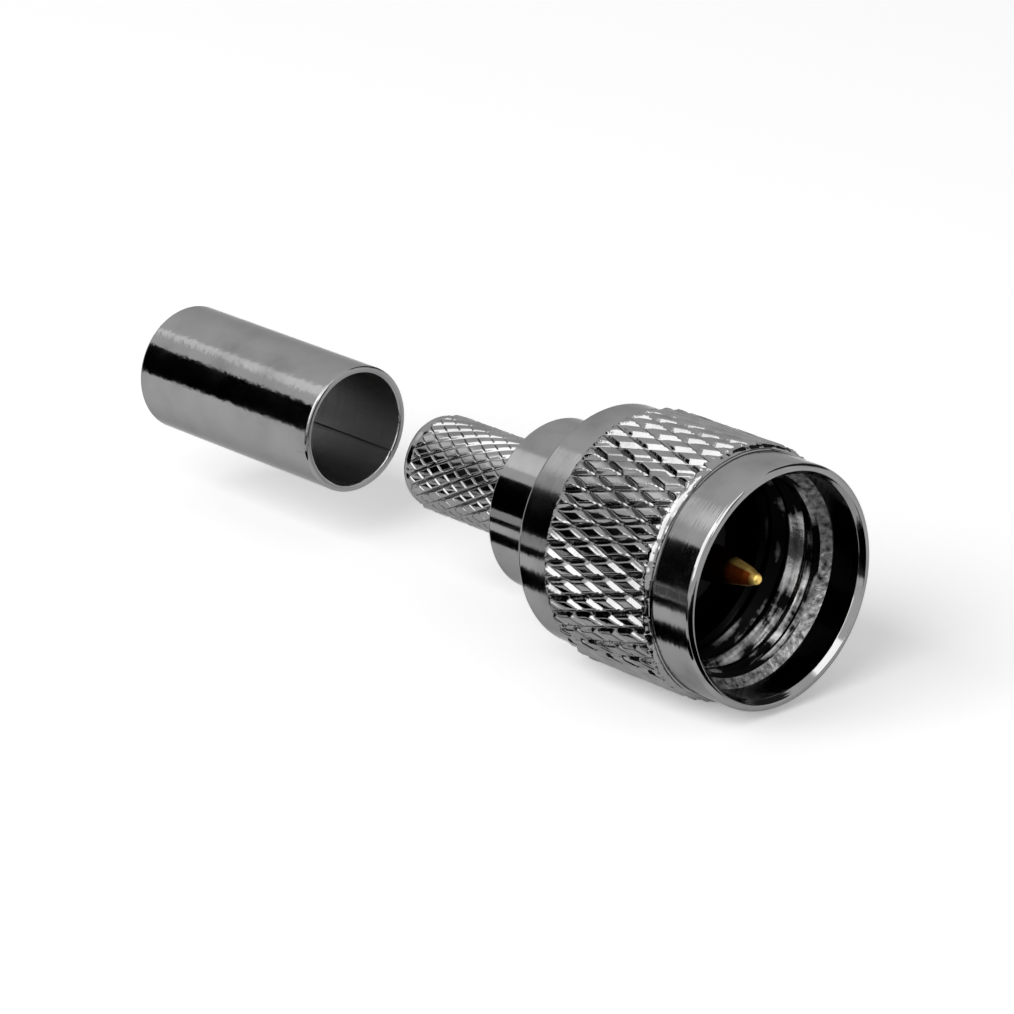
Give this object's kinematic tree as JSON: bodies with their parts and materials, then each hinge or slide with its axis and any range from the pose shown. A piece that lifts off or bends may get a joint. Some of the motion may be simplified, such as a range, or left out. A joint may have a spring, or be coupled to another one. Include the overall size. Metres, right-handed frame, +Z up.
{
  "type": "mini-uhf crimp plug",
  "caption": "Coaxial crimp plug with a knurled, free-turning coupling nut, a centre pin, a knurled crimp barrel and a loose crimp ferrule set apart on the same axis.",
  "frame": {"origin": "on the plug's axis in the mating plane, where the front faces of the body and the insulator lie and the centre pin begins", "axes": "+X along the plug's axis, out of the coupling nut's mouth; +Z up, with the plug lying on the nut's knurl"},
  "size_m": [0.0385, 0.0112, 0.0112],
  "materials": {
    "nut_nickel": "bright nickel plate over turned brass",
    "body_nickel": "bright nickel plate over turned brass",
    "ferrule_nickel": "nickel plate over drawn copper-alloy tube",
    "contact_gold": "gold plate over turned brass",
    "ring_bronze": "plain spring bronze",
    "insulator_black": "matte moulded plastic"
  },
  "bodies": {
    "body": {"plug_body": "body_nickel", "insulator": "insulator_black", "centre_contact": "contact_gold", "retaining_ring": "ring_bronze"},
    "nut": {"coupling_nut": "nut_nickel"},
    "ferrule": {"crimp_ferrule": "ferrule_nickel"}
  },
  "joints": [
    {"name": "nut_turn", "type": "hinge", "parent": "body", "child": "nut", "pos_m": [0, 0, 0], "axis": [1, 0, 0], "continuous": true},
    {"name": "ferrule_slide", "type": "slide", "parent": "body", "child": "ferrule", "axis": [1, 0, 0], "range_m": [0, 0.01275]}
  ]
}
